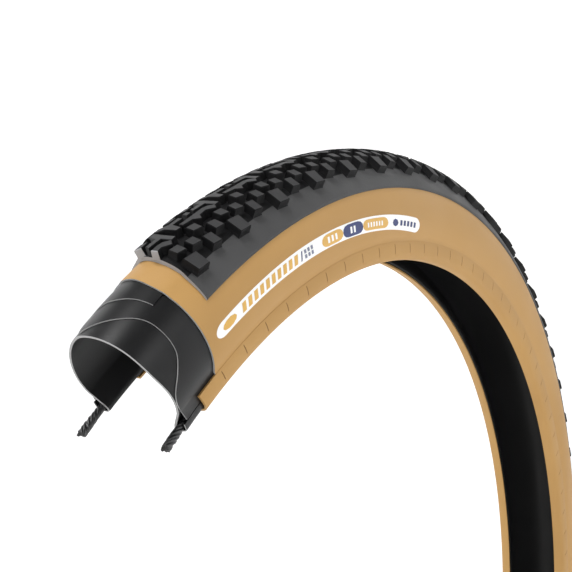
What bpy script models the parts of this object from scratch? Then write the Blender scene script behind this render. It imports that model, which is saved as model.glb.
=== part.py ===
"""A knobbly gravel bicycle tire, 622 mm bead seat, cut open so that its layers show as steps.

The wheel's axle lies along +Y and the tire stands upright, with +Z up and its centre at the
origin. "Near" is the side towards -Y and "far" the side towards +Y. Angles round the wheel
start at +X and rise towards +Z. A place across the section is a pair (width, radius): the
distance along +Y from the middle of the tire, and the distance from the axle.
"""

import math

import bmesh
import bpy
from mathutils import Matrix, Vector

MM = 0.001

# Driving dimensions of the section, in millimetres.
BEAD_SEAT_RADIUS = 311.0  # half of the 622 mm seat diameter of a 28 inch wheel
WIDEST_RADIUS = 331.5  # from the axle to the widest line of the casing
HALF_WIDTH = 25.8  # from the middle of the tire to the outside of the sidewall
CROWN_RISE = 29.0  # from the widest line up to the skin's crown
STATIONS = (-20, 10, 34, 64, 90, 116, 146, 170, 200)  # degrees over the section, near to far

# Layers, measured inwards from the skin's outer face on the sidewall.
GAP = 0.05
SKIN = 0.7
PLY = 0.5
LINER = 0.4
CHAFER = 0.9
CHAFER_PROUD = 0.2
SKIN_END_RADIUS = 321.3
NEAR_OVERLAP = 64  # the far turn-up ends here, on the near shoulder
FAR_OVERLAP = 116  # the near turn-up ends here, on the far shoulder

# Beads.
CABLE_DIAMETER = 3.0
CABLE_WIDTH = 20.1
CABLE_RADIUS = 315.1
CABLE_SIDES = 8

# Tread.
TREAD_DEPTHS = {34: 0.9, 64: 1.75, 90: 1.95, 116: 1.75, 146: 0.9}
PITCHES = 70
KNOB_HEIGHT = 3.7
KNOB_ROOT = 0.8
CENTRE_ROOT = 1.2
# Each knob of one pitch on the near side: width position, turn as a share of the pitch,
# length across, length along, and skew across per length along.
SHOULDER_KNOBS = (
    (-17.2, 0.0, 6.6, 6.9, -0.12),
    (-15.4, 0.5, 5.6, 4.8, -0.12),
)
CENTRE_KNOB = (0.0, 0.5, 7.0, 9.0, 0.35)

# Label panels on the sidewalls.
LABEL_THICKNESS = 0.15
LABEL_RADII = (327.8, 335.4)
LABEL_SECTOR = (83.5, 116.6)

# Where each layer ends, as an angle round the wheel, stepped back so that each one shows.
CUT = {
    "tread": 115.3,
    "skin": 117.2,
    "far_turn_up": 118.6,
    "chafer": 119.6,
    "near_turn_up": 119.9,
    "casing": 122.0,
    "cable": 124.0,
}
FLUSH_CUT = 141.0  # the plain end, where every layer is cut through together
RING_STEPS = 36
CUTTER_REACH = 0.45
CUTTER_HALF_WIDTH = 0.06

COLOURS = {
    "tread_rubber": ((0.028, 0.028, 0.030), 0.62),
    "tan_rubber": ((0.56, 0.345, 0.135), 0.55),
    "ply_fabric": ((0.017, 0.017, 0.018), 0.38),
    "liner_rubber": ((0.010, 0.010, 0.011), 0.45),
    "chafer_fabric": ((0.55, 0.33, 0.13), 0.65),
    "cable_fibre": ((0.030, 0.030, 0.032), 0.42),
    "filler_rubber": ((0.014, 0.014, 0.015), 0.60),
    "label_film": ((0.90, 0.90, 0.88), 0.40),
}


def clear_scene():
    for obj in list(bpy.data.objects):
        bpy.data.objects.remove(obj, do_unlink=True)


def new_collection(name):
    collection = bpy.data.collections.new(name)
    bpy.context.scene.collection.children.link(collection)
    return collection


def material(name):
    colour, roughness = COLOURS[name]
    made = bpy.data.materials.new(name)
    made.use_nodes = True
    shader = made.node_tree.nodes["Principled BSDF"]
    shader.inputs["Base Color"].default_value = (*colour, 1.0)
    shader.inputs["Roughness"].default_value = roughness
    shader.inputs["Metallic"].default_value = 0.0
    return made


# Section outlines


def across(angle, depth):
    """A point of the round part of the section, that far inside the skin's outer face."""
    turn = math.radians(angle)
    rise = CROWN_RISE if 0 < angle < 180 else HALF_WIDTH
    width = -(HALF_WIDTH - depth) * math.cos(turn)
    return (width, WIDEST_RADIUS + (rise - depth) * math.sin(turn))


def lift(angle):
    """How far both turn-ups lying on each other push the layers over them outwards."""
    return PLY + GAP if NEAR_OVERLAP <= angle <= FAR_OVERLAP else 0.0


def offset(path, distance):
    """The path moved sideways to its right, with mitred corners."""
    moved = []
    for i, (x, y) in enumerate(path):
        ends = [path[j] for j in (i - 1, i, i + 1) if 0 <= j < len(path)]
        normals = []
        for (ax, ay), (bx, by) in zip(ends, ends[1:]):
            length = math.hypot(bx - ax, by - ay)
            normals.append(((by - ay) / length, (ax - bx) / length))
        nx = sum(n[0] for n in normals)
        ny = sum(n[1] for n in normals)
        stretch = distance * 2 / (nx * nx + ny * ny) if len(normals) == 2 else distance
        moved.append((x + nx * stretch, y + ny * stretch))
    return moved


def strip(path, thickness):
    """The closed outline of a sheet of this thickness along the path."""
    return offset(path, -thickness / 2) + offset(path, thickness / 2)[::-1]


def far_side(points):
    return [(-width, radius) for width, radius in reversed(points)]


def casing_outline():
    """The ply from one bead to the other, each edge folded under and up round its cable."""
    depth = SKIN + PLY + 2 * GAP + PLY / 2
    bead = [
        (-23.0, 317.4),
        (-22.75, 314.3),
        (-21.8, 313.3),
        (-18.3, 312.7),
        (-17.7, 313.3),
        (-17.7, 314.66),
        (-19.3, 317.44),
    ]
    crown = [across(angle, depth) for angle in STATIONS]
    return strip(bead + crown + far_side(bead), PLY)


def liner_outline():
    depth = SKIN + 2 * PLY + 3 * GAP + LINER / 2
    bead = [(-17.2, 313.4), (-17.2, 314.8), (-18.87, 317.7)]
    crown = [across(angle, depth) for angle in STATIONS]
    return strip(bead + crown + far_side(bead), LINER)


def near_turn_up_outline():
    depth = SKIN + GAP + PLY / 2
    tip = [(-23.05, 317.9)]
    return strip(tip + [across(a, depth) for a in STATIONS if a <= FAR_OVERLAP], PLY)


def far_turn_up_outline():
    depth = SKIN + GAP + PLY / 2
    crown = [across(a, depth - lift(a)) for a in STATIONS if a >= NEAR_OVERLAP]
    return strip(crown + [(23.05, 317.9)], PLY)


def skin_outline():
    end = [(-23.88, SKIN_END_RADIUS)]
    crown = [across(a, SKIN / 2 - lift(a)) for a in STATIONS]
    return strip(end + crown + far_side(end), SKIN)


def near_chafer_outline():
    path = [
        (-23.85 - CHAFER_PROUD, SKIN_END_RADIUS - 0.1),
        (-23.85, 315.5),
        (-23.6, 313.5),
        (-22.6, 312.2),
        (-17.4, BEAD_SEAT_RADIUS + CHAFER / 2),
    ]
    return strip(path[::-1], CHAFER)


def near_filler_outline():
    return [(-22.1, 321.0), (-22.7, 321.0), (-22.5, 317.1), (-19.95, 317.1)]


def near_cable_outline():
    points = []
    for i in range(CABLE_SIDES):
        turn = 2 * math.pi * (i + 0.5) / CABLE_SIDES
        width = -CABLE_WIDTH + CABLE_DIAMETER / 2 * math.cos(turn)
        points.append((width, CABLE_RADIUS + CABLE_DIAMETER / 2 * math.sin(turn)))
    return points


def near_label_outline():
    skin_face = across(STATIONS[0], 0), across(STATIONS[1], 0)
    path = []
    for radius in LABEL_RADII:
        share = (radius - skin_face[0][1]) / (skin_face[1][1] - skin_face[0][1])
        width = skin_face[0][0] + share * (skin_face[1][0] - skin_face[0][0])
        path.append((width - GAP - LABEL_THICKNESS / 2, radius))
    return strip(path, LABEL_THICKNESS)


def tread_face(angle):
    """The tread's outer face between the knobs."""
    return across(angle, -lift(angle) - GAP - TREAD_DEPTHS[angle])


def tread_outline():
    outer = [tread_face(angle) for angle in TREAD_DEPTHS]
    inner = [across(angle, -lift(angle) - GAP) for angle in TREAD_DEPTHS]
    return outer + inner[::-1]


# Solids


def signed_area(outline):
    pairs = zip(outline, outline[1:] + outline[:1])
    return sum(ax * by - bx * ay for (ax, ay), (bx, by) in pairs) / 2


def turned_ring(name, outline, surface, parts, axle):
    """The outline turned once round the axle; its outer side runs from far to near."""
    if signed_area(outline) < 0:
        outline = outline[::-1]
    mesh = bpy.data.meshes.new(name)
    corners = [(radius * MM, 0.0, width * MM) for width, radius in outline]
    count = len(corners)
    mesh.from_pydata(corners, [(i, (i + 1) % count) for i in range(count)], [])
    ring = bpy.data.objects.new(name, mesh)
    ring.parent = axle
    mesh.materials.append(surface)
    turn = ring.modifiers.new("turn", "SCREW")
    turn.axis = "Z"
    turn.angle = 2 * math.pi
    turn.steps = RING_STEPS
    turn.render_steps = RING_STEPS
    turn.use_merge_vertices = True
    turn.merge_threshold = 0.00001
    parts.objects.link(ring)
    return ring


def on_wheel(angle, width, radius):
    turn = math.radians(angle)
    return Vector((radius * math.cos(turn), width, radius * math.sin(turn)))


def sector(name, start, end, cutters):
    """A wedge of the space round the wheel, between two angles."""
    mesh = bpy.data.meshes.new(name)
    bm = bmesh.new()
    rim = [start, (start + end) / 2, end]
    flat = [Vector((0.0, -CUTTER_HALF_WIDTH, 0.0))]
    flat += [on_wheel(angle, -CUTTER_HALF_WIDTH, CUTTER_REACH) for angle in rim]
    face = bm.faces.new([bm.verts.new(corner) for corner in flat])
    grown = bmesh.ops.extrude_face_region(bm, geom=[face])["geom"]
    top = [item for item in grown if isinstance(item, bmesh.types.BMVert)]
    bmesh.ops.translate(bm, verts=top, vec=(0.0, 2 * CUTTER_HALF_WIDTH, 0.0))
    bmesh.ops.recalc_face_normals(bm, faces=bm.faces)
    bm.to_mesh(mesh)
    bm.free()
    wedge = bpy.data.objects.new(name, mesh)
    wedge.hide_render = True
    wedge.display_type = "WIRE"
    cutters.objects.link(wedge)
    return wedge


def boolean(obj, operation, other):
    modifier = obj.modifiers.new(operation.lower(), "BOOLEAN")
    modifier.operation = operation
    modifier.solver = "EXACT"
    modifier.object = other


def facet_point(angle, width):
    """The tread's outer face there, as its flats really lie, and the face's outward tilt."""
    corners = [tread_face(station) for station in TREAD_DEPTHS]
    for (ax, ay), (bx, by) in zip(corners, corners[1:]):
        if ax <= width <= bx:
            radius = ay + (by - ay) * (width - ax) / (bx - ax)
            tilt = math.atan2(by - ay, bx - ax)
            break
    half_step = 180 / RING_STEPS
    from_middle = angle % (2 * half_step) - half_step
    flat = math.cos(math.radians(half_step)) / math.cos(math.radians(from_middle))
    return radius * flat, tilt


def add_knob(bm, angle, knob, root):
    """One block, standing square on the tread's face, its root sunk into it."""
    width, _, length_across, length_along, skew = knob
    radius, tilt = facet_point(angle, width)
    if width == 0.0:
        tilt = 0.0
    height = KNOB_HEIGHT + root
    # Local axes: X across, Y back round the wheel, Z outwards.
    shape = Matrix.Diagonal((length_across * MM, length_along * MM, height * MM, 1.0))
    slant = Matrix.Identity(4)
    slant[1][0] = skew
    raised = Matrix.Translation((0.0, 0.0, (height / 2 - root) * MM))
    turn = math.radians(angle)
    outward = Vector((math.cos(turn), 0.0, math.sin(turn)))
    along = Vector((math.sin(turn), 0.0, -math.cos(turn)))
    axle = Vector((0.0, 1.0, 0.0))
    side = axle * math.cos(tilt) + outward * math.sin(tilt)
    up = outward * math.cos(tilt) - axle * math.sin(tilt)
    place = Matrix((side, -along, up)).transposed().to_4x4()
    place.translation = on_wheel(angle, width * MM, radius * MM)
    made = bmesh.ops.create_cube(bm, size=1.0, matrix=place @ raised @ slant @ shape)
    return made["verts"]


def knob_set(cutters):
    """Every knob of the tread as one helper: the far side repeats the near half a pitch on."""
    bm = bmesh.new()
    step = 360 / PITCHES
    for i in range(PITCHES):
        for knob in SHOULDER_KNOBS:
            width, share, length_across, length_along, skew = knob
            add_knob(bm, (i + share) * step, knob, KNOB_ROOT)
            mirrored = (-width, share, length_across, length_along, -skew)
            add_knob(bm, (i + share + 0.5) * step, mirrored, KNOB_ROOT)
        add_knob(bm, (i + CENTRE_KNOB[1]) * step, CENTRE_KNOB, CENTRE_ROOT)
    bmesh.ops.recalc_face_normals(bm, faces=bm.faces)
    mesh = bpy.data.meshes.new("knobs")
    bm.to_mesh(mesh)
    bm.free()
    knobs = bpy.data.objects.new("knobs", mesh)
    knobs.hide_render = True
    knobs.display_type = "WIRE"
    cutters.objects.link(knobs)
    return knobs


def build():
    clear_scene()
    parts = new_collection("bicycle_tire")
    cutters = new_collection("cutters")
    axle = bpy.data.objects.new("axle_frame", None)
    # Turned rings are drawn round Z; the frame lays that axis along the wheel's axle, +Y.
    axle.rotation_euler = (-math.pi / 2, 0.0, 0.0)
    parts.objects.link(axle)
    surfaces = {name: material(name) for name in COLOURS}
    wedges = {}
    for layer, angle in CUT.items():
        wedges[layer] = sector(f"cut_{layer}", angle, FLUSH_CUT, cutters)
    label_sector = sector("label_sector", *LABEL_SECTOR, cutters)

    tread = turned_ring("tread", tread_outline(), surfaces["tread_rubber"], parts, axle)
    boolean(tread, "UNION", knob_set(cutters))
    boolean(tread, "DIFFERENCE", wedges["tread"])

    # Each layer: node name, outline, material, and the cut that ends it.
    layers = [
        ("sidewall_skin", skin_outline(), "tan_rubber", "skin"),
        ("far_turn_up", far_turn_up_outline(), "ply_fabric", "far_turn_up"),
        ("near_turn_up", near_turn_up_outline(), "ply_fabric", "near_turn_up"),
        ("casing_ply", casing_outline(), "ply_fabric", "casing"),
        ("inner_liner", liner_outline(), "liner_rubber", "casing"),
    ]
    # Pieces that come in pairs, one at each bead or on each sidewall.
    pairs = [
        ("chafer", near_chafer_outline(), "chafer_fabric", "chafer"),
        ("bead_filler", near_filler_outline(), "filler_rubber", "casing"),
        ("bead_cable", near_cable_outline(), "cable_fibre", "cable"),
        ("label", near_label_outline(), "label_film", None),
    ]
    for name, outline, surface, cut in pairs:
        layers.append((f"near_{name}", outline, surface, cut))
        layers.append((f"far_{name}", far_side(outline), surface, cut))
    for name, outline, surface, cut in layers:
        ring = turned_ring(name, outline, surfaces[surface], parts, axle)
        if cut:
            boolean(ring, "DIFFERENCE", wedges[cut])
        else:
            boolean(ring, "INTERSECT", label_sector)


build()
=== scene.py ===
"""Visual model of the cut-open gravel tire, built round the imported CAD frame.

The axle lies along +Y with the wheel's centre at the origin. "Near" is the -Y side. Places on
the tire are given in millimetres as (width, radius), or as an angle over the section with a
depth below the skin, and an angle round the wheel in degrees, from +X towards +Z.
"""

import math

import bpy
from mathutils import Matrix, Vector


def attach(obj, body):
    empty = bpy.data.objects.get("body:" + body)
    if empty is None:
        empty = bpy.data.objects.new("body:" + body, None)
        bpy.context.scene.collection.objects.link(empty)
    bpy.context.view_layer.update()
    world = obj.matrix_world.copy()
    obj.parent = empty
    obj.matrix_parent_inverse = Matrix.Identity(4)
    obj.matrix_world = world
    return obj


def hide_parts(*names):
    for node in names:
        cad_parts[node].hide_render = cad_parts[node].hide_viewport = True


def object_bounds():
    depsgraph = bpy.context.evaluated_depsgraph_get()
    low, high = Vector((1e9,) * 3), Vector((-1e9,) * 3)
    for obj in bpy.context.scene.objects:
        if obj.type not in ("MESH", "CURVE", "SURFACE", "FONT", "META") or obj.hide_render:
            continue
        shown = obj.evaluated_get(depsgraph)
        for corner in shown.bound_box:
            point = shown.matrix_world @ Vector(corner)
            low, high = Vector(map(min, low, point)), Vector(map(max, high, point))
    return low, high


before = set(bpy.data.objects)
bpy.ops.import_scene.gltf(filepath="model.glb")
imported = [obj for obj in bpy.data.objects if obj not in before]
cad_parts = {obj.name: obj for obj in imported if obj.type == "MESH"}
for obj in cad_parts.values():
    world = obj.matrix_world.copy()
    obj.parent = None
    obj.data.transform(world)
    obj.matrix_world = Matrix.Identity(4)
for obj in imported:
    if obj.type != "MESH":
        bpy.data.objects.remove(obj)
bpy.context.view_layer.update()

MM = 0.001

# The section, as the CAD part has it.
WIDEST_RADIUS = 331.5
HALF_WIDTH = 25.8
CROWN_RISE = 29.0
GAP = 0.05
SKIN = 0.7
PLY = 0.5
LINER = 0.4
CHAFER = 0.9
SKIN_END = (-23.88, 321.25)
TURN_UP_END = (-23.05, 317.9)
OVERLAP = (64, 116)  # where both turn-ups lie on each other, in degrees over the section
OVERLAP_RAMP = 9
BEAD_ANGLE = -20  # where the sidewall's curve ends above the bead
SECTION_STEP = 2.5
CORNER = 0.25  # the share of each side that a rounded corner takes

# Round the wheel.
FLUSH_CUT = 141.0  # where every layer is cut through together
SHEET_ROWS = 320
TREAD_ROWS = 450
FILLER_ROWS = 240
CABLE_ROWS = 1900
# Where each layer ends: (place over the section, angle round the wheel).
CUT_LINES = {
    "tread": [(34, 115.6), (62, 115.4), (90, 115.05), (122, 114.3), (146, 114.0)],
    "skin": [(-28, 117.6), (50, 117.4), (76, 117.3), (103, 116.8), (130, 116.5), (205, 116.7)],
    "far_turn_up": [
        (55, 118.5), (79, 118.6), (100, 118.9), (118, 119.2), (132, 120.5), (205, 121.1),
    ],
    "near_turn_up": [
        (-28, 121.6), (-8, 122.1), (3, 121.9), (14, 120.85), (26, 120.0),
        (52, 119.7), (67, 119.9), (83, 120.5), (100, 121.1), (116, 121.6),
    ],
    "casing": [
        (-45, 121.9), (-26, 122.05), (3, 122.2), (30, 122.5), (60, 122.4),
        (98, 122.1), (127, 121.7), (180, 121.5), (225, 121.2),
    ],
    "filler": [(-60, 121.0), (240, 121.0)],
}

# Tread.
TREAD_ANGLES = (34, 146)
TREAD_HALF = 56  # degrees from an edge to the crown
TREAD_EDGE = 0.9
TREAD_CROWN = 1.05  # added to the edge's thickness on the crown
TREAD_LIP = 3.0
LIP_STEP = 18  # degrees round the lip
PITCHES = 70
PATTERN_START = 140.06  # where the first whole pitch sits round the wheel
KNOB_HEIGHT = 3.7
KNOB_SHARP = 28
SMALLEST_KNOB = 0.6  # square millimetres: a smaller offcut is left out
MITRE_LIMIT = 0.9  # keeps a sharp corner from shooting out as an outline grows
STEEPEST = 0.98  # a knob top lies no further round the section than this cosine
TOP_RADIUS = 366.75
BAND_WIDTH = 15.5  # beyond this the tread is a plain band
CUT_HAIR = 0.006  # degrees between a cut face and one that would lie in it

# Bead strips and the lines pressed across them.
CHAFER_ENDS = {"near": 119.9, "far": 117.5}
MARK_START = 117.0
MARK_SPAN = 330
MARK_PITCH = 3.2
MARK_LEAN = 0.4  # degrees that a line leans back
MARK_LEAN_OVER = 10.0  # millimetres of radius in which it does so
MARK_BED = 0.025  # half the width of a line's floor, in degrees
MARK_EDGE = 0.05
MARK_EASE = 1.1
MARK_DEPTH = 0.3
MARK_FOOT = (314.4, 315.2)  # radii between which a line fades at its lower and upper ends
MARK_TOP = (319.6, 320.4)
MARK_SEEN = 0.1

# Bead cables.
CABLE = (-20.1, 315.1)
CABLE_DIAMETER = 3.45
CABLE_END = 124.0
CABLE_LAY = 2.7  # degrees round the wheel for one turn of the strands
CABLE_CAP = 0.02
CABLE_SHARP = 50
STRANDS = 6
STRAND_SIDES = 6
STRAND_CENTRE = 1.06  # how far out the strands' middles lie
STRAND_SWELL = 1.03
LOOSE = 0.13  # how much the stub swells, as a share
RAGGED = 0.14  # how unevenly the strands end, in degrees
RAGGED_TURN = 1.9
RAGGED_FADE = 200
FILLER = ([(-22.7, 321.0), (-22.5, 317.1)], [(-22.1, 321.0), (-19.95, 317.1)])

# Label. Its middle and half height are angles over the section.
LABEL_ENDS = (83.6, 116.5)
LABEL_MIDDLE = 7.2
LABEL_DROP = 13.6
LABEL_HALF = 5.6
LABEL_SPREAD = 2.6
FILM = 0.1
FILM_ROUND = 0.95  # degrees round the wheel that its rounded ends take
FILM_STEP = 0.35
FILM_ROWS = 5
PRINT = 0.03
PRINT_DEPTH = GAP + 0.14
TOP_PRINT_DEPTH = GAP + 0.2


# ---------------------------------------------------------------- section


def smooth(low, high, value):
    share = min(max((value - low) / (high - low), 0.0), 1.0)
    return share * share * (3 - 2 * share)


def across(angle, depth):
    turn = math.radians(angle)
    rise = CROWN_RISE if 0 < angle < 180 else HALF_WIDTH
    width = -(HALF_WIDTH - depth) * math.cos(turn)
    return (width, WIDEST_RADIUS + (rise - depth) * math.sin(turn))


def lift(angle):
    """How far the doubled turn-ups push the layers over them outwards."""
    up = smooth(OVERLAP[0] - OVERLAP_RAMP, OVERLAP[0], angle)
    down = smooth(OVERLAP[1], OVERLAP[1] + OVERLAP_RAMP, angle)
    return (PLY + GAP) * (up - down)


def tread_depth(angle):
    """Thickness of the tread between its knobs, with a rounded lip at its edges."""
    inside = min(angle - TREAD_ANGLES[0], TREAD_ANGLES[1] - angle)
    body = TREAD_EDGE + TREAD_CROWN * math.sin(math.pi / 2 * smooth(0, TREAD_HALF, inside))
    lip = min(max(inside / TREAD_LIP, 0.0), 1.0)
    return body * math.sqrt(1 - (1 - lip) ** 2)


def arc(start, end, step=SECTION_STEP):
    count = max(1, round(abs(end - start) / step))
    return [start + (end - start) * i / count for i in range(count + 1)]


def mirrored(points):
    return [(-width, radius) for width, radius in reversed(points)]


def rounded(path, times=2):
    """The path with its corners cut, its two ends kept."""
    for _ in range(times):
        cut = [path[0]]
        for (ax, ay), (bx, by) in zip(path, path[1:]):
            cut.append((ax + CORNER * (bx - ax), ay + CORNER * (by - ay)))
            cut.append((bx + CORNER * (ax - bx), by + CORNER * (ay - by)))
        path = cut + [path[-1]]
    return path


def offset(path, distance):
    """The path moved sideways to its right."""
    moved = []
    for i, (x, y) in enumerate(path):
        ends = [path[j] for j in (i - 1, i, i + 1) if 0 <= j < len(path)]
        nx = ny = 0.0
        for (ax, ay), (bx, by) in zip(ends, ends[1:]):
            length = math.hypot(bx - ax, by - ay)
            nx += (by - ay) / length
            ny += (ax - bx) / length
        share = distance * (len(ends) - 1) / (nx * nx + ny * ny)
        moved.append((x + nx * share, y + ny * share))
    return moved


def sheet_faces(path, thickness):
    """(outer, inner) faces of a sheet whose middle is the path, running near to far."""
    return offset(path, -thickness / 2), offset(path, thickness / 2)


def skin_faces():
    middle = [across(a, SKIN / 2 - lift(a)) for a in arc(BEAD_ANGLE, 180 - BEAD_ANGLE)]
    return sheet_faces([SKIN_END] + middle + mirrored([SKIN_END]), SKIN)


def casing_faces():
    bead = [
        (-23.0, 317.4),
        (-22.75, 314.3),
        (-21.8, 313.3),
        (-18.3, 312.7),
        (-17.7, 313.3),
        (-17.7, 314.66),
        (-19.3, 317.44),
    ]
    depth = SKIN + PLY + 2 * GAP + PLY / 2
    crown = [across(a, depth) for a in arc(BEAD_ANGLE, 180 - BEAD_ANGLE)]
    near = rounded(bead + crown[:1])
    return sheet_faces(near + crown[1:-1] + mirrored(near), PLY)


def liner_faces():
    bead = [(-17.2, 313.4), (-17.2, 314.8), (-18.87, 317.7)]
    depth = SKIN + 2 * PLY + 3 * GAP + LINER / 2
    crown = [across(a, depth) for a in arc(BEAD_ANGLE, 180 - BEAD_ANGLE)]
    near = rounded(bead + crown[:1])
    return sheet_faces(near + crown[1:-1] + mirrored(near), LINER)


def near_turn_up_faces():
    depth = SKIN + GAP + PLY / 2
    middle = [across(a, depth) for a in arc(BEAD_ANGLE, OVERLAP[1])]
    return sheet_faces([TURN_UP_END] + middle, PLY)


def far_turn_up_faces():
    depth = SKIN + GAP + PLY / 2
    middle = [across(a, depth - lift(a)) for a in arc(OVERLAP[0], 180 - BEAD_ANGLE)]
    return sheet_faces(middle + mirrored([TURN_UP_END]), PLY)


def tread_faces():
    lip = [TREAD_LIP * (1 - math.cos(math.radians(a))) for a in range(0, 91, LIP_STEP)]
    low = [TREAD_ANGLES[0] + x for x in lip]
    high = [TREAD_ANGLES[1] - x for x in reversed(lip)]
    angles = low + arc(low[-1], high[0])[1:-1] + high
    outer = [across(a, -lift(a) - GAP - tread_depth(a)) for a in angles]
    return outer, [across(a, -lift(a) - GAP) for a in angles]


def chafer_faces():
    path = [
        (-23.9, 321.2),
        (-24.15, 319.0),
        (-24.15, 316.5),
        (-23.7, 313.6),
        (-22.6, 312.2),
        (-20.5, 311.6),
        (-17.4, 311.5),
    ]
    return sheet_faces(rounded(path[::-1]), CHAFER)


def filler_faces(side):
    outer, inner = FILLER
    if side > 0:
        return mirrored(outer), mirrored(inner)
    return outer[::-1], inner[::-1]


# ---------------------------------------------------------------- meshes


def on_wheel(angle, width, radius):
    turn = math.radians(angle)
    return (radius * math.cos(turn) * MM, width * MM, radius * math.sin(turn) * MM)


def new_piece(name, points, faces, materials, slots=None, sharp=35):
    mesh = bpy.data.meshes.new(name)
    mesh.from_pydata(points, [], faces)
    for made in materials:
        mesh.materials.append(made)
    if slots:
        mesh.polygons.foreach_set("material_index", slots)
    mesh.shade_smooth()
    mesh.set_sharp_from_angle(angle=math.radians(sharp))
    mesh.update()
    piece = bpy.data.objects.new(name, mesh)
    bpy.context.scene.collection.objects.link(piece)
    return piece


def end_line(stops, place):
    """The angle round the wheel where a layer ends, at a place over the section."""
    place = min(max(place, stops[0][0]), stops[-1][0])
    last = len(stops) - 1
    i = next(k for k in range(last) if place <= stops[k + 1][0])
    (a, first), (b, second) = stops[i], stops[i + 1]
    before, after = stops[max(i - 1, 0)], stops[min(i + 2, last)]
    leaving = (second - before[1]) / (b - before[0]) * (b - a)
    arriving = (after[1] - first) / (after[0] - a) * (b - a)
    t = (place - a) / (b - a)
    curve = (2 * t**3 - 3 * t**2 + 1) * first + (t**3 - 2 * t**2 + t) * leaving
    return curve + (3 * t**2 - 2 * t**3) * second + (t**3 - t**2) * arriving


def place_over(point):
    """The angle over the section of a point on it."""
    width, radius = point
    rise = CROWN_RISE if radius > WIDEST_RADIUS else HALF_WIDTH
    turn = math.degrees(math.atan2((radius - WIDEST_RADIUS) / rise, -width / HALF_WIDTH))
    return turn + 360 if turn < -90 else turn


def tube_faces(rows, size):
    """Faces between rows of points, each row a closed loop."""
    faces = []
    for i in range(rows):
        a, b = i * size, (i + 1) * size
        for j in range(size):
            k = (j + 1) % size
            faces.append((a + j, b + j, b + k, a + k))
    return faces


def end_faces(count, last):
    """The two cut ends of a sheet whose rows hold count outer and count inner points."""
    size = 2 * count
    faces = []
    for j in range(count - 1):
        faces.append((j, j + 1, size - 2 - j, size - 1 - j))
        faces.append((last + size - 1 - j, last + size - 2 - j, last + j + 1, last + j))
    return faces


def ring_grid(outer, inner, stops, rows):
    """Points, faces and material slots of a sheet turned round the wheel from the flush cut to
    its own cut line. Slot 0 is the sheet and slot 1 its cut ends."""
    ends = [end_line(stops, place_over(p)) for p in outer]
    ends += ends[::-1]
    loop = outer + inner[::-1]
    points = []
    for i in range(rows + 1):
        for (width, radius), end in zip(loop, ends):
            turn = FLUSH_CUT + (360 - FLUSH_CUT + end) * i / rows
            points.append(on_wheel(turn, width, radius))
    sides = tube_faces(rows, len(loop))
    caps = end_faces(len(outer), rows * len(loop))
    return points, sides + caps, [0] * len(sides) + [1] * len(caps)


def ring_piece(name, faces_of, stops, materials, rows):
    outer, inner = faces_of
    points, faces, slots = ring_grid(outer, inner, stops, rows)
    return new_piece(name, points, faces, materials, slots)


# ---------------------------------------------------------------- knobs

# One pitch of the tread, each block as its top's corners: along the wheel and over the width.
BLOCKS = {
    "shoulder": [(4.0, -12.9), (-3.5, -14.0), (-3.9, -19.2), (3.2, -18.7)],
    "second": [(20.2, -11.6), (15.1, -12.4), (14.6, -16.9), (20.0, -16.3)],
    "inner_a": [(11.3, -8.2), (6.6, -9.3), (6.4, -13.6), (11.8, -13.0)],
    "inner_b": [(27.3, -8.0), (22.5, -8.8), (22.3, -12.9), (27.4, -11.8)],
    "inner_c": [(18.4, -3.1), (13.6, -4.3), (14.3, -8.6), (19.2, -7.3)],
    "inner_d": [(2.6, -5.9), (-2.4, -6.8), (-2.2, -11.1), (2.8, -9.9)],
    "fork": [
        (-1.6, -5.2), (1.9, -2.4), (6.4, -2.6), (8.9, -5.0), (11.2, -2.0),
        (16.7, -0.9), (16.6, 1.4), (1.2, 0.6), (-1.8, -0.2), (-4.4, -3.0),
    ],
    "hook": [
        (-7.4, -3.2), (-4.2, -3.2), (-4.2, 2.0), (3.2, 3.0), (1.8, 5.8),
        (-4.2, 4.9), (-9.4, 12.4), (-11.9, 11.2), (-8.0, 4.4),
    ],
    "cross": [
        (18.5, -1.2), (21.3, -0.6), (20.3, 6.2), (19.6, 12.6), (16.2, 12.6),
        (15.8, 7.2), (9.6, 6.6), (10.3, 3.5), (16.3, 4.3),
    ],
    "dash": [(8.2, 3.0), (6.3, 6.8), (3.9, 6.0), (5.0, 2.9)],
    "far_inner_a": [(12.6, 9.0), (12.4, 13.2), (7.6, 12.6), (7.9, 8.4)],
    "far_inner_b": [(2.4, 7.9), (2.6, 12.1), (-2.6, 11.6), (-2.9, 7.6)],
    "far_second": [(5.4, 14.2), (5.2, 18.4), (-0.2, 18.0), (0.1, 13.6)],
    "far_shoulder": [(23.4, 14.3), (23.2, 19.4), (15.6, 19.2), (15.9, 14.4)],
}
# Height up the block as a share, and how far its outline stands out there.
KNOB_STAGES = ((-0.12, 0.75), (0.02, 0.5), (0.1, 0.3), (0.94, 0.0), (1.0, -0.25))


def knob_top(angle):
    return lift(angle) + GAP + tread_depth(angle) + KNOB_HEIGHT


def place_of_width(width):
    """The angle over the section at which a knob's top lies at this width."""
    angle = 90.0
    for _ in range(6):
        reach = HALF_WIDTH + knob_top(angle)
        angle = math.degrees(math.acos(max(-STEEPEST, min(STEEPEST, -width / reach))))
    return angle


def clipped(outline, limit, keep_below):
    """The outline with what lies beyond a line across the tread cut off."""
    kept = []
    for (ax, ay), (bx, by) in zip(outline, outline[1:] + outline[:1]):
        inside_a = (ax <= limit) == keep_below
        inside_b = (bx <= limit) == keep_below
        if inside_a:
            kept.append((ax, ay))
        if inside_a != inside_b:
            share = (limit - ax) / (bx - ax)
            kept.append((limit, ay + share * (by - ay)))
    return kept


def area(outline):
    pairs = zip(outline, outline[1:] + outline[:1])
    return sum(ax * by - bx * ay for (ax, ay), (bx, by) in pairs) / 2


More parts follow.
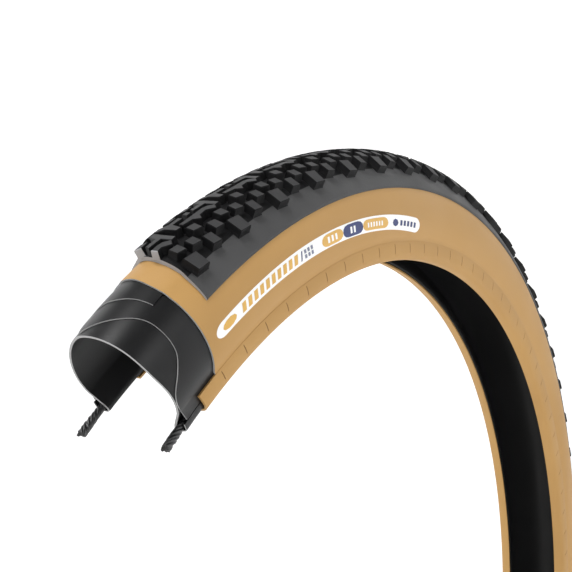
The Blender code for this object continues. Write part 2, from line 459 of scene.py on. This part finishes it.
def grown(outline, distance):
    """A closed outline, drawn anticlockwise, with its sides moved outwards."""
    moved = []
    count = len(outline)
    for i in range(count):
        (ax, ay), (bx, by), (cx, cy) = outline[i - 1], outline[i], outline[(i + 1) % count]
        first = math.hypot(bx - ax, by - ay)
        second = math.hypot(cx - bx, cy - by)
        nx = (by - ay) / first + (cy - by) / second
        ny = (ax - bx) / first + (bx - cx) / second
        share = 2 * distance / max(nx * nx + ny * ny, MITRE_LIMIT)
        moved.append((bx + nx * share, by + ny * share))
    return moved


def along_to_degrees(along):
    return math.degrees(along / TOP_RADIUS)


def tread_end(width):
    return end_line(CUT_LINES["tread"], place_of_width(width))


def knob_points(outline, start, high, cut_high):
    points = []
    for share, spread in KNOB_STAGES:
        for along, width in grown(outline, spread):
            turn = max(start + along_to_degrees(along), FLUSH_CUT)
            if turn > high or cut_high and turn > high - 3 * CUT_HAIR:
                turn = high
            over = place_of_width(width)
            depth = -lift(over) - GAP - tread_depth(over) - KNOB_HEIGHT * share
            points.append(on_wheel(turn, *across(over, depth)))
    return points


def knob_faces(outline, base, is_cut):
    """Faces and slots of a block whose points start at base. A side at the cut takes slot 1."""
    faces, slots = [], []
    count = len(outline)
    for stage in range(len(KNOB_STAGES) - 1):
        for j in range(count):
            k = (j + 1) % count
            a = base + stage * count
            faces.append((a + k, a + j, a + count + j, a + count + k))
            slots.append(1 if is_cut and outline[j][0] == outline[k][0] else 0)
    top = base + (len(KNOB_STAGES) - 1) * count
    faces.append([top + j for j in reversed(range(count))])
    # The top face takes slot 2, the lighter knob-top rubber: a painted highlight.
    return faces, slots + [2]


def knob(outline, start, points, faces, slots):
    """Adds one block to the lists, cut off where the tread is."""
    middle = sum(w for _, w in outline) / len(outline)
    high = tread_end(middle) + 360
    first = start + along_to_degrees(min(s for s, _ in outline))
    last = start + along_to_degrees(max(s for s, _ in outline))
    if last < FLUSH_CUT or first > high:
        return
    cut_low, cut_high = first < FLUSH_CUT, last > high
    if cut_high:
        outline = clipped(outline, math.radians(high - start) * TOP_RADIUS, True)
    if cut_low:
        outline = clipped(outline, math.radians(FLUSH_CUT - start) * TOP_RADIUS, False)
    if area(outline) < 0:
        outline = outline[::-1]
    if len(outline) < 3 or area(outline) < SMALLEST_KNOB:
        return
    # A cut face stands a hair before the band's own, and a whole block's foot stays behind it.
    high += CUT_HAIR if cut_high else -CUT_HAIR
    more_faces, more_slots = knob_faces(outline, len(points), cut_low or cut_high)
    points += knob_points(outline, start, high, cut_high)
    faces += more_faces
    slots += more_slots


def tread_piece(materials):
    outer, inner = tread_faces()
    points, faces, slots = ring_grid(outer, inner, CUT_LINES["tread"], TREAD_ROWS)
    size = 2 * len(outer)
    edge = {j for j, p in enumerate(outer) if abs(p[0]) > BAND_WIDTH}
    # Slot 3 marks the band past BAND_WIDTH, which takes a lighter rubber: painted light.
    slots = [3 if s == 0 and i % size in edge else s for i, s in enumerate(slots)]
    pitch = 360 / PITCHES
    for i in range(-1, PITCHES + 1):
        for outline in BLOCKS.values():
            knob(outline, PATTERN_START + i * pitch, points, faces, slots)
    return new_piece("tread_band", points, faces, materials, slots, KNOB_SHARP)


# ---------------------------------------------------------------- beads


def chafer_turns(end, marks):
    """Where the strip has a row of points: close together at each mark."""
    turns = {FLUSH_CUT, end}
    for mark in marks:
        for step in (MARK_BED, MARK_EDGE, MARK_EASE):
            turns.update((mark - step, mark + step))
    return sorted(t for t in turns if FLUSH_CUT <= t <= end)


def chafer_piece(name, side, materials):
    """The strip over one bead, with a slanting line pressed across it at every few degrees.
    Slot 0 is the strip, slot 1 its cut ends and slot 2 the pressed lines."""
    outer, inner = chafer_faces()
    downs = [(outer[-1][1] - radius) / MARK_LEAN_OVER for _, radius in outer]
    depths = [
        MARK_DEPTH * smooth(*MARK_FOOT, radius) * (1 - smooth(*MARK_TOP, radius))
        for _, radius in outer
    ]
    if side > 0:
        outer, inner = mirrored(outer), mirrored(inner)
        downs, depths = downs[::-1], depths[::-1]
    marks = [MARK_START + 360 - MARK_PITCH * i for i in range(int(MARK_SPAN / MARK_PITCH))]
    turns = chafer_turns(CHAFER_ENDS[name.split("_")[0]] + 360, marks)
    points = []
    for turn in turns:
        bed = any(abs(turn - mark) < 1.5 * MARK_BED for mark in marks)
        for (ow, orad), (iw, irad), down, depth in zip(outer, inner, downs, depths):
            share = depth / CHAFER if bed else 0.0
            lean = turn - MARK_LEAN * down
            points.append(on_wheel(lean, ow + (iw - ow) * share, orad + (irad - orad) * share))
        for (width, radius), down in zip(reversed(inner), reversed(downs)):
            points.append(on_wheel(turn - MARK_LEAN * down, width, radius))
    count = len(outer)
    size = 2 * count
    rows = len(turns) - 1
    # Slot 2 gives the pressed lines a darker cloth: painted shade in the grooves.
    slots = []
    for i in range(rows):
        in_bed = turns[i + 1] - turns[i] < 2.5 * MARK_BED
        for j in range(size):
            pressed = in_bed and j < count - 1 and min(depths[j : j + 2]) > MARK_SEEN
            slots.append(2 if pressed else 0)
    caps = end_faces(count, rows * size)
    faces = tube_faces(rows, size) + caps
    return new_piece(name, points, faces, materials, slots + [1] * len(caps))


def strand_reaches():
    """How far the rope's outline reaches from its middle, as shares of its radius."""
    strand = STRAND_CENTRE * math.sin(math.pi / STRANDS) * STRAND_SWELL
    reaches = []
    for j in range(STRANDS * STRAND_SIDES):
        place = (j % STRAND_SIDES - (STRAND_SIDES - 1) / 2) / STRAND_SIDES
        off = place * 2 * math.pi / STRANDS
        sine = STRAND_CENTRE * math.sin(off)
        along = math.sqrt(max(strand**2 - sine**2, 0))
        reaches.append(STRAND_CENTRE * math.cos(off) + along)
    return [reach / max(reaches) for reach in reaches]


def cable_piece(name, side, materials):
    """A rope of strands laid round the bead, its cut end a little uneven."""
    reaches = strand_reaches()
    size = len(reaches)
    middle = -side * CABLE[0]
    stub = CABLE_END + 360 - 2
    points = []
    for i in range(CABLE_ROWS + 1):
        way = i / CABLE_ROWS
        turn = FLUSH_CUT + (360 - FLUSH_CUT + CABLE_END) * i / CABLE_ROWS
        loose = 1 + LOOSE * smooth(stub, stub + 1, turn)
        for j, reach in enumerate(reaches):
            ragged = RAGGED * math.sin(RAGGED_TURN * (j // STRAND_SIDES)) * way**RAGGED_FADE
            roll = 2 * math.pi * (j / size) + side * math.radians(turn) * 360 / CABLE_LAY
            out = reach * CABLE_DIAMETER / 2 * loose
            width = middle + out * math.cos(roll)
            points.append(on_wheel(turn + ragged, width, CABLE[1] + out * math.sin(roll)))
    faces = [(a, d, c, b) for a, b, c, d in tube_faces(CABLE_ROWS, size)]
    slots = [0] * len(faces)
    last = CABLE_ROWS * size
    first_hub, last_hub = len(points), len(points) + 1
    points.append(on_wheel(FLUSH_CUT - CABLE_CAP, middle, CABLE[1]))
    points.append(on_wheel(CABLE_END + CABLE_CAP, middle, CABLE[1]))
    for j in range(size):
        k = (j + 1) % size
        faces.append((first_hub, k, j))
        faces.append((last_hub, last + j, last + k))
        slots += [1, 1]
    return new_piece(name, points, faces, materials, slots, CABLE_SHARP)


# ---------------------------------------------------------------- label


def label_share(turn):
    """How far along the label an angle round the wheel is, from its left end."""
    return (LABEL_ENDS[1] - turn) / (LABEL_ENDS[1] - LABEL_ENDS[0])


def on_label(turn, height, depth, side):
    """A point at a height from -1 to 1 over the label, whose middle nears the bead on its way."""
    share = label_share(turn)
    over = LABEL_MIDDLE - LABEL_DROP * max(0.0, share) ** 3
    over += height * (LABEL_HALF + LABEL_SPREAD * share)
    width, radius = across(over, -depth)
    return on_wheel(turn, -side * width, radius)


def film_points(shape, columns, depth, thickness, side):
    start, end, low, high, slant, roundness = shape
    middle, half = (low + high) / 2, (high - low) / 2
    turns = [
        start + (end - start) * (1 - math.cos(math.pi * i / columns)) / 2
        for i in range(columns + 1)
    ]
    points = []
    for level in (0, 1):
        for turn in turns:
            reach = 1.0
            if roundness > 0:
                inset = min(turn - start, end - turn) / roundness
                reach = math.sqrt(max(0.0, 1 - (1 - min(inset, 1.0)) ** 2))
            for r in range(FILM_ROWS):
                height = middle + half * reach * (2 * r / (FILM_ROWS - 1) - 1)
                shift = slant * (height - middle)
                points.append(on_label(turn + shift, height, depth + thickness * level, side))
    return points


def film_faces(base, columns, side):
    """A film's faces: its top, its underside and its two long edges."""
    rows = FILM_ROWS
    sheet = (columns + 1) * rows
    faces = []
    for i in range(columns):
        for r in range(rows - 1):
            a = base + i * rows + r
            faces.append((a + sheet, a + sheet + rows, a + sheet + rows + 1, a + sheet + 1))
            faces.append((a, a + 1, a + rows + 1, a + rows))
        a, b = base + i * rows, base + i * rows + rows - 1
        faces.append((a, a + rows, a + rows + sheet, a + sheet))
        faces.append((b + sheet, b + rows + sheet, b + rows, b))
    return faces if side < 0 else [face[::-1] for face in faces]


def film(name, shapes, depth, thickness, side, materials):
    """Thin films on the sidewall. Each shape: start, end, low, high, slant, round ends."""
    points, faces = [], []
    for shape in shapes:
        columns = max(4, int((shape[1] - shape[0]) / FILM_STEP))
        faces += film_faces(len(points), columns, side)
        points += film_points(shape, columns, depth, thickness, side)
    return new_piece(name, points, faces, materials)


def bars(first, count, pitch, width, low, high, slant=0.0):
    """A row of plain upright bars, as film shapes."""
    return [
        (first - i * pitch - width, first - i * pitch, low, high, slant, 0)
        for i in range(count)
    ]


def label_prints():
    """The marks on the label by colour, each list as film shapes."""
    gold = [(113.9, 115.7, -0.62, 0.62, 0, 0.9)]
    gold += bars(113.1, 10, 0.82, 0.5, -0.62, 0.62, -0.18)
    gold += [(98.1, 101.5, -0.78, 0.78, 0, 0.85), (90.1, 94.7, -0.72, 0.72, 0, 0.8)]
    navy = [
        (104.55, 104.7, -0.62, 0.62, -0.2, 0),
        (94.7, 98.1, -0.82, 0.82, 0, 0.85),
        (88.1, 89.2, -0.5, 0.5, 0, 0.55),
    ]
    navy += bars(87.7, 5, 0.7, 0.4, -0.36, 0.36)
    grey = bars(104.2, 3, 0.5, 0.3, 0.08, 0.58) + bars(104.2, 3, 0.5, 0.3, -0.58, -0.08)
    return {"gold": gold, "navy": navy, "grey": grey}


def pill_bars():
    """White bars on top of the coloured pills."""
    first = bars(100.6, 3, 0.6, 0.3, -0.4, 0.4)
    second = bars(96.9, 2, 0.55, 0.3, -0.42, 0.42)
    return first + second + bars(93.9, 6, 0.5, 0.24, -0.3, 0.3)


# ---------------------------------------------------------------- materials


NOISE_SPAN = (0.25, 0.75)  # where most of a noise's values lie
NOISE_DETAIL = 3.0
GRAIN_DETAIL = 2.0
GRAIN_STRENGTH = 0.6
ROUGH_SCALE = 2.3  # how much finer the gloss varies than the colour


def new_material(name, colour, roughness):
    made = bpy.data.materials.new(name)
    made.use_nodes = True
    shader = made.node_tree.nodes["Principled BSDF"]
    shader.inputs["Base Color"].default_value = (*colour, 1.0)
    shader.inputs["Roughness"].default_value = roughness
    return made, shader


def link(made, output, target):
    made.node_tree.links.new(output, target)


def noise(made, scale, detail):
    node = made.node_tree.nodes.new("ShaderNodeTexNoise")
    node.inputs["Scale"].default_value = scale
    node.inputs["Detail"].default_value = detail
    place = made.node_tree.nodes.new("ShaderNodeTexCoord")
    link(made, place.outputs["Object"], node.inputs["Vector"])
    return node.outputs["Fac"]


def ranged(made, value, low, high):
    node = made.node_tree.nodes.new("ShaderNodeMapRange")
    node.inputs["From Min"].default_value = NOISE_SPAN[0]
    node.inputs["From Max"].default_value = NOISE_SPAN[1]
    node.inputs["To Min"].default_value = low
    node.inputs["To Max"].default_value = high
    link(made, value, node.inputs["Value"])
    return node.outputs["Result"]


def mottle(made, shader, first, second, scale):
    mix = made.node_tree.nodes.new("ShaderNodeMix")
    mix.data_type = "RGBA"
    mix.inputs["A"].default_value = (*first, 1.0)
    mix.inputs["B"].default_value = (*second, 1.0)
    link(made, ranged(made, noise(made, scale, NOISE_DETAIL), 0.0, 1.0), mix.inputs["Factor"])
    link(made, mix.outputs["Result"], shader.inputs["Base Color"])


def grain(made, shader, scale, distance):
    bump = made.node_tree.nodes.new("ShaderNodeBump")
    bump.inputs["Strength"].default_value = GRAIN_STRENGTH
    bump.inputs["Distance"].default_value = distance
    link(made, noise(made, scale, GRAIN_DETAIL), bump.inputs["Height"])
    link(made, bump.outputs["Normal"], shader.inputs["Normal"])


def rubber(name, first, second, roughness, mottle_scale, grain_scale, grain_depth, specular):
    """A surface with a slow change of colour and gloss and a fine grain."""
    made, shader = new_material(name, first, sum(roughness) / 2)
    shader.inputs["Specular IOR Level"].default_value = specular
    mottle(made, shader, first, second, mottle_scale)
    gloss = noise(made, mottle_scale * ROUGH_SCALE, NOISE_DETAIL)
    link(made, ranged(made, gloss, *roughness), shader.inputs["Roughness"])
    grain(made, shader, grain_scale, grain_depth)
    return made


# Name, two colours it varies between, roughness range, mottle scale, grain scale, grain depth
# and specular level.
LOOKS = {
    "tread": (
        "tread_rubber", (0.006, 0.006, 0.0065), (0.009, 0.009, 0.0095),
        (0.42, 0.56), 18, 900, 0.00012, 0.12,
    ),
    # Knob tops: a lighter copy of the tread rubber, a painted highlight for the light that falls
    # on them from above.
    "knob_top": (
        "knob_top_rubber_painted_highlight", (0.027, 0.027, 0.028), (0.040, 0.040, 0.041),
        (0.5, 0.62), 40, 900, 0.00010, 0.3,
    ),
    # The plain band beside the tan: a lighter copy of the tread rubber, painted light.
    "band": (
        "tread_band_rubber_painted_light", (0.045, 0.045, 0.046), (0.062, 0.062, 0.063),
        (0.5, 0.62), 14, 700, 0.00012, 0.3,
    ),
    "tread_cut": (
        "tread_cut_face", (0.30, 0.30, 0.31), (0.36, 0.36, 0.37),
        (0.6, 0.75), 60, 1200, 0.00008, 0.5,
    ),
    "tan": (
        "tan_sidewall", (0.42, 0.238, 0.076), (0.475, 0.275, 0.092),
        (0.5, 0.62), 9, 1400, 0.00005, 0.3,
    ),
    "chafer": (
        "chafer_cloth", (0.41, 0.232, 0.074), (0.465, 0.270, 0.090),
        (0.55, 0.68), 12, 1600, 0.00007, 0.3,
    ),
    # The pressed lines: a darker copy of the chafer cloth, painted shade in the grooves.
    "groove_painted_shade": (
        "pressed_line_painted_shade", (0.25, 0.135, 0.05), (0.30, 0.165, 0.06),
        (0.7, 0.8), 60, 1200, 0.00003, 0.5,
    ),
    "ply": (
        "casing_ply_rubber", (0.005, 0.005, 0.0055), (0.009, 0.009, 0.0095),
        (0.3, 0.38), 10, 1500, 0.00004, 0.26,
    ),
    "ply_cut": (
        "ply_cut_face", (0.33, 0.33, 0.33), (0.42, 0.42, 0.42),
        (0.55, 0.7), 80, 1200, 0.00003, 0.5,
    ),
    "liner": (
        "liner_butyl", (0.011, 0.011, 0.0115), (0.016, 0.016, 0.0165),
        (0.34, 0.44), 10, 1200, 0.00005, 0.2,
    ),
    "cable": (
        "cable_fibre", (0.010, 0.010, 0.011), (0.022, 0.022, 0.023),
        (0.26, 0.36), 200, 2500, 0.00006, 0.7,
    ),
    "filler": (
        "bead_filler_rubber", (0.014, 0.014, 0.015), (0.022, 0.022, 0.022),
        (0.6, 0.7), 30, 1200, 0.00005, 0.5,
    ),
    "film": (
        "label_film", (0.90, 0.90, 0.89), (0.95, 0.95, 0.94),
        (0.32, 0.42), 20, 1500, 0.00002, 0.5,
    ),
    "gold": (
        "print_gold", (0.66, 0.38, 0.075), (0.72, 0.42, 0.09),
        (0.35, 0.45), 30, 1500, 0.00002, 0.5,
    ),
    "navy": (
        "print_navy", (0.006, 0.020, 0.12), (0.009, 0.026, 0.15),
        (0.35, 0.45), 30, 1500, 0.00002, 0.5,
    ),
    "grey": (
        "print_grey", (0.16, 0.18, 0.26), (0.22, 0.24, 0.32),
        (0.4, 0.5), 30, 1500, 0.00002, 0.5,
    ),
}


def build_materials():
    return {key: rubber(*look) for key, look in LOOKS.items()}


# ---------------------------------------------------------------- the tire


def place(piece, nodes, slot):
    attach(piece, "root")
    if nodes:
        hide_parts(*nodes)


def build_tread(surfaces):
    # The knob tops and the band take lighter copies of the tread rubber: painted light.
    looks = [surfaces[key] for key in ("tread", "tread_cut", "knob_top", "band")]
    place(tread_piece(looks), ["tread"], "tread_rubber")


def build_sheets(surfaces):
    far, near = far_turn_up_faces(), near_turn_up_faces()
    # Piece, faces, cut line, look, the node it stands for and its slot.
    sheets = (
        ("tan_skin", skin_faces(), "skin", "tan", "sidewall_skin", "tan_rubber"),
        ("far_ply_turn_up", far, "far_turn_up", "ply", "far_turn_up", "ply_fabric"),
        ("near_ply_turn_up", near, "near_turn_up", "ply", "near_turn_up", "ply_fabric"),
        ("main_casing", casing_faces(), "casing", "ply", "casing_ply", "ply_fabric"),
        ("air_liner", liner_faces(), "casing", "liner", "inner_liner", "liner_rubber"),
    )
    for name, faces_of, cut, look, node, slot in sheets:
        looks = [surfaces[look], surfaces["ply_cut"]]
        place(ring_piece(name, faces_of, CUT_LINES[cut], looks, SHEET_ROWS), [node], slot)


def build_bead(surfaces, side, word):
    cloth, groove_painted_shade = surfaces["chafer"], surfaces["groove_painted_shade"]
    chafer = chafer_piece(f"{word}_chafer_strip", side, [cloth, cloth, groove_painted_shade])
    place(chafer, [f"{word}_chafer"], "chafer_fabric")
    cable = cable_piece(f"{word}_twisted_cable", side, [surfaces["cable"], surfaces["filler"]])
    place(cable, [f"{word}_bead_cable"], "cable_fibre")
    looks = [surfaces["filler"]] * 2
    line = CUT_LINES["filler"]
    filler = ring_piece(f"{word}_filler_wedge", filler_faces(side), line, looks, FILLER_ROWS)
    place(filler, [f"{word}_bead_filler"], "filler_rubber")


def build_label(surfaces, side, word):
    paper = [surfaces["film"]]
    outline = [(*LABEL_ENDS, -1, 1, 0, FILM_ROUND)]
    label = film(f"{word}_label_film", outline, GAP, FILM, side, paper)
    place(label, [f"{word}_label"], "label_film")
    for colour, shapes in label_prints().items():
        looks = [surfaces[colour]]
        mark = film(f"{word}_print_{colour}", shapes, PRINT_DEPTH, PRINT, side, looks)
        place(mark, [], "label_film")
    white = film(f"{word}_print_white", pill_bars(), TOP_PRINT_DEPTH, PRINT, side, paper)
    place(white, [], "label_film")


def build_tire():
    surfaces = build_materials()
    build_tread(surfaces)
    build_sheets(surfaces)
    for side, word in ((-1, "near"), (1, "far")):
        build_bead(surfaces, side, word)
        build_label(surfaces, side, word)


# ---------------------------------------------------------------- studio

BOWL_RADIUS = 7.0
BOWL_BEND = 2.5
BOWL_TOP = 6.0
BOWL_SIDES = 96
BEND_STEP = 6
FLOOR_RINGS = (0.0, 1.5, 3.0)
FLOOR_PAINT = 0.9
FLOOR_GLOW = 0.42
WORLD_LIGHT = 0.25
# Name, place, target, diameter and power.
LIGHTS = (
    ("key", (-0.7, 0.5, 2.4), (-0.1, 0, 0.2), 1.2, 42),
    ("side", (0.2, -1.9, 1.9), (0.0, 0, 0.1), 0.8, 6),
)
CAMERA_PLACE = (-0.52812, -0.27896, 0.38649)
CAMERA_YAW = 59.542
CAMERA_PITCH = -8.339
CAMERA_LENS = 76.04
CAMERA_SENSOR = 36.0
CAMERA_SHIFT = (-0.0006, -0.0016)
CAMERA_SIGHT = 200


def build_floor():
    """A round floor that curves up into a wall, so that every view has the same pale ground."""
    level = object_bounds()[0][2]
    flat_end = BOWL_RADIUS - BOWL_BEND
    flat = [(r, 0.0) for r in (*FLOOR_RINGS, flat_end)]
    bend = [
        (flat_end + BOWL_BEND * math.sin(t), BOWL_BEND * (1 - math.cos(t)))
        for t in (math.radians(a) for a in range(BEND_STEP, 91, BEND_STEP))
    ]
    profile = flat + bend + [(BOWL_RADIUS, BOWL_TOP)]
    points = [(0.0, 0.0, level)]
    for radius, height in profile[1:]:
        for i in range(BOWL_SIDES):
            turn = 2 * math.pi * i / BOWL_SIDES
            points.append((radius * math.cos(turn), radius * math.sin(turn), level + height))
    faces = [(0, 1 + i, 1 + (i + 1) % BOWL_SIDES) for i in range(BOWL_SIDES)]
    for ring in range(len(profile) - 2):
        a = 1 + ring * BOWL_SIDES
        for i in range(BOWL_SIDES):
            k = (i + 1) % BOWL_SIDES
            faces.append((a + i, a + i + BOWL_SIDES, a + k + BOWL_SIDES, a + k))
    made, shader = new_material("floor_paint", (FLOOR_PAINT,) * 3, FLOOR_PAINT)
    shader.inputs["Specular IOR Level"].default_value = 0.0
    shader.inputs["Emission Color"].default_value = (1.0, 1.0, 1.0, 1.0)
    shader.inputs["Emission Strength"].default_value = FLOOR_GLOW
    new_piece("floor", points, faces, [made])


def area_light(name, place, target, size, power):
    data = bpy.data.lights.new(name, "AREA")
    data.shape = "DISK"
    data.size = size
    data.energy = power
    light = bpy.data.objects.new(name, data)
    light.location = place
    light.rotation_euler = (Vector(target) - Vector(place)).to_track_quat("-Z", "Y").to_euler()
    bpy.context.scene.collection.objects.link(light)


def build_camera():
    """The photograph's eye: it looks along the tread from the near side of the cut end."""
    yaw, pitch = math.radians(CAMERA_YAW), math.radians(CAMERA_PITCH)
    level = math.cos(pitch)
    ahead = Vector((math.sin(yaw) * level, math.cos(yaw) * level, math.sin(pitch)))
    right = Vector((math.cos(yaw), -math.sin(yaw), 0.0))
    up = right.cross(ahead)
    turned = Matrix((right, up, -ahead)).transposed().to_4x4()
    data = bpy.data.cameras.new("camera")
    data.sensor_width = CAMERA_SENSOR
    data.lens = CAMERA_LENS
    data.shift_x, data.shift_y = CAMERA_SHIFT
    data.clip_end = CAMERA_SIGHT
    camera = bpy.data.objects.new("camera", data)
    camera.matrix_world = Matrix.Translation(CAMERA_PLACE) @ turned
    bpy.context.scene.collection.objects.link(camera)
    bpy.context.scene.camera = camera


def build_world():
    world = bpy.data.worlds.new("studio")
    world.use_nodes = True
    shade = world.node_tree.nodes["Background"]
    shade.inputs["Color"].default_value = (1.0, 1.0, 1.0, 1.0)
    shade.inputs["Strength"].default_value = WORLD_LIGHT
    bpy.context.scene.world = world


build_tire()
build_floor()
build_world()
build_camera()
for light in LIGHTS:
    area_light(*light)
bpy.context.scene.view_settings.view_transform = "Standard"
